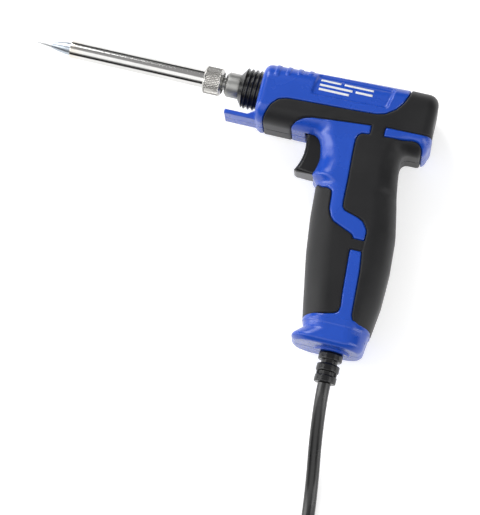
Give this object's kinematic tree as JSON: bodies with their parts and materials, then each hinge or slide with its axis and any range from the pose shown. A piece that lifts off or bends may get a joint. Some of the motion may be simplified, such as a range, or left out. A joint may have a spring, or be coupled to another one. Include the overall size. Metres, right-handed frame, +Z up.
{
  "type": "soldering iron",
  "caption": "Pistol-grip soldering iron with a long steel barrel, knurled union nut, finger trigger, soft grip skin and a coiled mains cord with plug.",
  "frame": {"origin": "on the barrel axis at the front face of the union nut", "axes": "+X along the barrel axis from the tip to the back of the housing, +Y away from the grip, +Z up; the tool lies on its right side"},
  "size_m": [0.267, 0.2923, 0.0368],
  "materials": {
    "blue_shell": "satin moulded",
    "soft_skin": "matt soft-touch",
    "black_plastic": "glossy moulded",
    "polished_steel": "polished",
    "nickel": "satin, knurled on the nut",
    "tip_plating": "iron-plated with a tinned point",
    "ceramic": "unglazed",
    "pale_plastic": "moulded",
    "red_plastic": "moulded",
    "brass": "stamped",
    "wire_sleeve": "glass-fibre sleeving",
    "wire_green": "insulation",
    "wire_brown": "insulation",
    "black_cord": "smooth cord sheath",
    "spring_steel": "drawn wire"
  },
  "bodies": {
    "body": {"housing_left": "blue_shell", "housing_right": "blue_shell", "grip_skin_left": "soft_skin", "grip_skin_right": "soft_skin", "front_collar": "black_plastic", "ferrule": "nickel", "heater_rod": "ceramic", "heater_socket": "ceramic", "heater_leads": "wire_sleeve", "earth_lead": "wire_green", "terminal_block": "pale_plastic", "terminal_screws": "nickel", "diode": "black_plastic", "switch_body": "black_plastic", "switch_terminals": "brass", "switch_wires": "wire_brown", "trigger_pin": "spring_steel", "trigger_spring": "spring_steel", "cord_clamp": "pale_plastic", "clamp_screws": "nickel", "strain_relief": "black_cord", "cord_inner_end": "black_cord", "mains_wires": "wire_brown", "housing_screws": "nickel", "cord": "black_cord", "cord_coil": "black_cord", "coil_tie": "black_plastic", "plug_body": "black_plastic", "plug_pins": "nickel", "plug_earth_clips": "nickel"},
    "barrel": {"barrel_sleeve": "polished_steel", "soldering_tip": "tip_plating"},
    "nut": {"union_nut": "nickel"},
    "trigger": {"trigger": "black_plastic"},
    "plunger": {"switch_plunger": "red_plastic"}
  },
  "joints": [
    {"name": "barrel_pull", "type": "slide", "parent": "body", "child": "barrel", "axis": [-1, 0, 0], "range_m": [0, 0.095]},
    {"name": "nut_turn", "type": "hinge", "parent": "barrel", "child": "nut", "pos_m": [0.004, 0, 0], "axis": [1, 0, 0], "continuous": true},
    {"name": "trigger_turn", "type": "hinge", "parent": "body", "child": "trigger", "pos_m": [0.06, -0.0102, 0], "axis": [0, 0, 1], "range_deg": [0, 8], "stiffness_Nm_per_rad": 0.4, "springref_deg": -17.19, "deforming": ["trigger_spring"]},
    {"name": "plunger_press", "type": "slide", "parent": "body", "child": "plunger", "axis": [1, 0, 0], "range_m": [0, 0.0018]}
  ],
  "couplings": [
    {"joint": "plunger_press", "follows": "trigger_turn", "m_per_rad": 0.0113}
  ]
}
